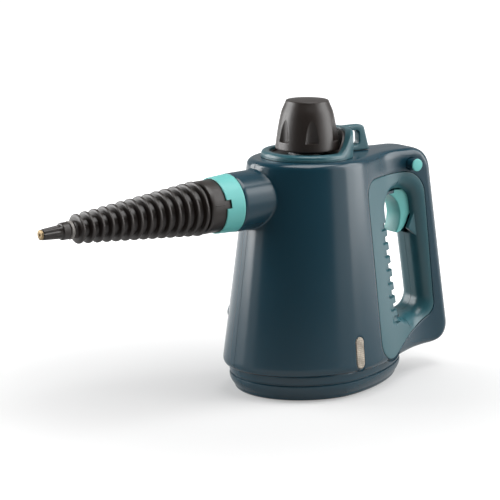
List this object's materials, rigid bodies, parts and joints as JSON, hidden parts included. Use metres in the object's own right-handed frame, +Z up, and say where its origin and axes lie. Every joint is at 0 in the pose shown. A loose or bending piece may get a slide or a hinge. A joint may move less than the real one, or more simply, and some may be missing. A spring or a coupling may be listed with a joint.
{
  "type": "handheld steam cleaner",
  "caption": "Handheld steam cleaner: a boiler in a tapered casing with a closed loop handle and trigger, a screwed safety cap in a raised collar and a ribbed nozzle on a bayonet ring.",
  "frame": {"origin": "centre of the whole object's box at the height of the surface that it stands on", "axes": "-X out of the nozzle, +X towards the handle, +Z up; the casing halves meet on the plane Y = 0"},
  "size_m": [0.3702, 0.1209, 0.2294],
  "materials": {
    "gloss_teal_abs": "glossy moulded ABS",
    "satin_slate_abs": "satin moulded ABS",
    "turquoise_abs": "satin moulded ABS",
    "warm_black_pp": "satin moulded polypropylene",
    "black_rubber": "matt moulded silicone rubber",
    "brass": "turned",
    "steel": "zinc plated",
    "cast_aluminium": "die cast",
    "grey_plastic": "satin moulded",
    "frosted_plastic": "frosted moulded polycarbonate",
    "white_insulator": "matt moulded"
  },
  "bodies": {
    "casing": {"left_shell": "gloss_teal_abs", "right_shell": "gloss_teal_abs", "left_handle_panel": "satin_slate_abs", "right_handle_panel": "satin_slate_abs", "indicator_lens": "frosted_plastic", "indicator_lamp": "white_insulator", "base_plate": "warm_black_pp", "foot_pad_1": "black_rubber", "foot_pad_2": "black_rubber", "foot_pad_3": "black_rubber", "foot_pad_4": "black_rubber", "base_screw_1": "steel", "base_screw_2": "steel", "base_screw_3": "steel", "base_screw_4": "steel", "casing_screw_1": "steel", "casing_screw_2": "steel", "casing_screw_3": "steel", "casing_screw_4": "steel", "casing_screw_5": "steel", "boiler_tank": "cast_aluminium", "heater_element": "steel", "thermostat": "warm_black_pp", "thermal_fuse": "white_insulator", "terminal_block": "white_insulator", "steam_valve": "brass", "valve_spring": "steel", "steam_spigot": "brass", "steam_pipe": "brass", "lock_ring": "turquoise_abs", "fill_collar": "satin_slate_abs", "collar_liner": "warm_black_pp", "trigger_pin": "steel", "trigger_spring": "steel", "cord_gland": "black_rubber"},
    "trigger_lever": {"trigger": "turquoise_abs"},
    "rod": {"push_rod": "steel"},
    "valve_stem": {"valve_plunger": "steel"},
    "lock": {"lock_button": "turquoise_abs"},
    "cap_seal": {"cap_gasket": "black_rubber"},
    "cap_ring": {"cap_slip_washer": "steel"},
    "cap": {"cap_knob": "warm_black_pp", "cap_plug": "brass", "relief_spring": "steel"},
    "relief_valve": {"relief_poppet": "brass"},
    "nozzle_joint": {"nozzle_seal": "black_rubber"},
    "nozzle": {"nozzle_cone": "warm_black_pp", "nozzle_washer": "grey_plastic", "nozzle_tip": "warm_black_pp", "brass_jet": "brass"}
  },
  "joints": [
    {"name": "trigger_squeeze", "type": "hinge", "parent": "casing", "child": "trigger_lever", "pos_m": [0.1477, 0, 0.155], "axis": [0, -1, 0], "range_deg": [0, 10], "stiffness_Nm_per_rad": 0.3, "springref_deg": -5.73, "deforming": ["trigger_spring"]},
    {"name": "rod_push", "type": "slide", "parent": "casing", "child": "rod", "axis": [-1, 0, 0], "range_m": [0, 0.0015]},
    {"name": "valve_open", "type": "slide", "parent": "casing", "child": "valve_stem", "axis": [-1, 0, 0], "range_m": [0, 0.0015], "deforming": ["valve_spring"]},
    {"name": "lock_slide", "type": "slide", "parent": "casing", "child": "lock", "axis": [0, 1, 0], "range_m": [0, 0.008]},
    {"name": "cap_lift", "type": "slide", "parent": "casing", "child": "cap_seal", "axis": [0, 0, 1], "range_m": [0, 0.06]},
    {"name": "cap_rise", "type": "slide", "parent": "cap_seal", "child": "cap_ring", "axis": [0, 0, 1], "range_m": [0, 0.0075]},
    {"name": "cap_turn", "type": "hinge", "parent": "cap_ring", "child": "cap", "pos_m": [0.0527, 0, 0.19], "axis": [0, 0, 1], "range_deg": [0, 900]},
    {"name": "relief_lift", "type": "slide", "parent": "cap", "child": "relief_valve", "axis": [0, 0, 1], "range_m": [0, 0.0015], "stiffness_N_per_m": 400, "springref_m": -0.004, "deforming": ["relief_spring"]},
    {"name": "nozzle_pull", "type": "slide", "parent": "casing", "child": "nozzle_joint", "axis": [-0.9993, 0, -0.0384], "range_m": [0, 0.03]},
    {"name": "nozzle_turn", "type": "hinge", "parent": "nozzle_joint", "child": "nozzle", "pos_m": [-0.0197, 0, 0.154], "axis": [-0.9993, 0, -0.0384], "range_deg": [0, 45]}
  ],
  "couplings": [
    {"joint": "rod_push", "follows": "trigger_squeeze", "m_per_rad": 0.0085},
    {"joint": "valve_open", "follows": "trigger_squeeze", "m_per_rad": 0.0085},
    {"joint": "cap_rise", "follows": "cap_turn", "m_per_rad": 0.00047746}
  ]
}
